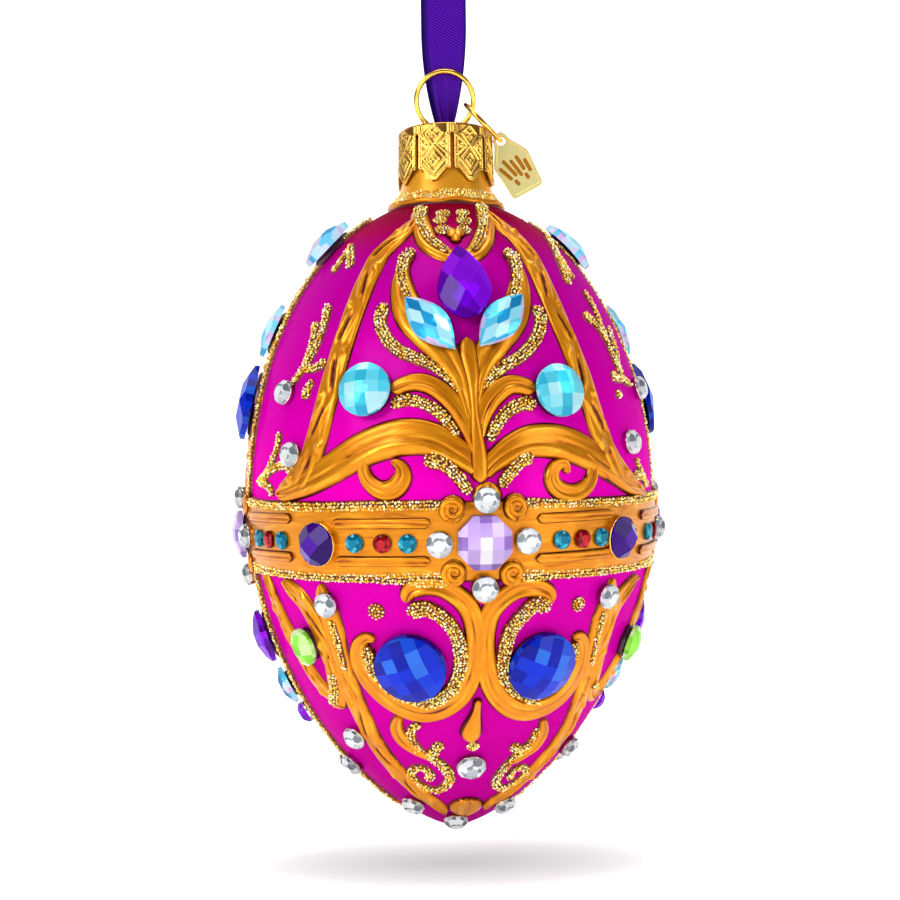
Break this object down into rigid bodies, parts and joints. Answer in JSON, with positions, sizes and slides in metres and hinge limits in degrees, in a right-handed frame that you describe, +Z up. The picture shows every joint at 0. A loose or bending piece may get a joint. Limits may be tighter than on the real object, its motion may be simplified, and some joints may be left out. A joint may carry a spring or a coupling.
{
  "type": "jewelled egg ornament",
  "caption": "Hanging egg of magenta lacquered blown glass with gold enamel scrolls, coloured faceted stones, a brass cap with a wire ring, a small tag and a purple ribbon loop.",
  "frame": {"origin": "inside the top of the ribbon's loop, where the ornament hangs", "axes": "+Z up along the egg's axis, -Y towards the viewer who faces the wire ring"},
  "size_m": [0.063, 0.063, 0.131],
  "materials": {
    "glass_lacquered": "gloss",
    "brass": "polished",
    "satin": "satin",
    "stone_purple": "gloss",
    "stone_aqua": "gloss",
    "stone_blue": "gloss",
    "stone_lilac": "gloss",
    "stone_green": "gloss",
    "stone_clear": "gloss"
  },
  "bodies": {
    "root": {"cap": "brass", "clear_back_above": "stone_clear", "clear_back_below": "stone_clear", "clear_back_left": "stone_clear", "clear_back_right": "stone_clear", "clear_front_above": "stone_clear", "clear_front_below": "stone_clear", "clear_front_left": "stone_clear", "clear_front_right": "stone_clear", "clear_left_above": "stone_clear", "clear_left_below": "stone_clear", "clear_left_left": "stone_clear", "clear_left_right": "stone_clear", "clear_right_above": "stone_clear", "clear_right_below": "stone_clear", "clear_right_left": "stone_clear", "clear_right_right": "stone_clear", "cup_purple_back_left": "stone_purple", "cup_purple_back_right": "stone_purple", "cup_purple_front_left": "stone_purple", "cup_purple_front_right": "stone_purple", "drop_blue_left": "stone_blue", "drop_blue_right": "stone_blue", "egg_glass": "glass_lacquered", "jump_ring": "brass", "lilac_back": "stone_lilac", "lilac_front": "stone_lilac", "lilac_left": "stone_lilac", "lilac_right": "stone_lilac", "navette_aqua_back_left": "stone_aqua", "navette_aqua_back_right": "stone_aqua", "navette_aqua_front_left": "stone_aqua", "navette_aqua_front_right": "stone_aqua", "navette_low_left": "stone_aqua", "navette_low_right": "stone_aqua", "navette_top_left": "stone_aqua", "navette_top_right": "stone_aqua", "navette_upper_left": "stone_aqua", "navette_upper_right": "stone_aqua", "oval_green_left_left": "stone_green", "oval_green_left_right": "stone_green", "oval_green_right_left": "stone_green", "oval_green_right_right": "stone_green", "oval_purple_left": "stone_purple", "oval_purple_right": "stone_purple", "pear_purple_back": "stone_purple", "pear_purple_front": "stone_purple", "ribbon": "satin", "round_aqua_back_left": "stone_aqua", "round_aqua_back_right": "stone_aqua", "round_aqua_front_left": "stone_aqua", "round_aqua_front_right": "stone_aqua", "round_blue_back_left": "stone_blue", "round_blue_back_right": "stone_blue", "round_blue_front_left": "stone_blue", "round_blue_front_right": "stone_blue", "tag": "brass", "wire_hanger": "brass"}
  },
  "joints": []
}
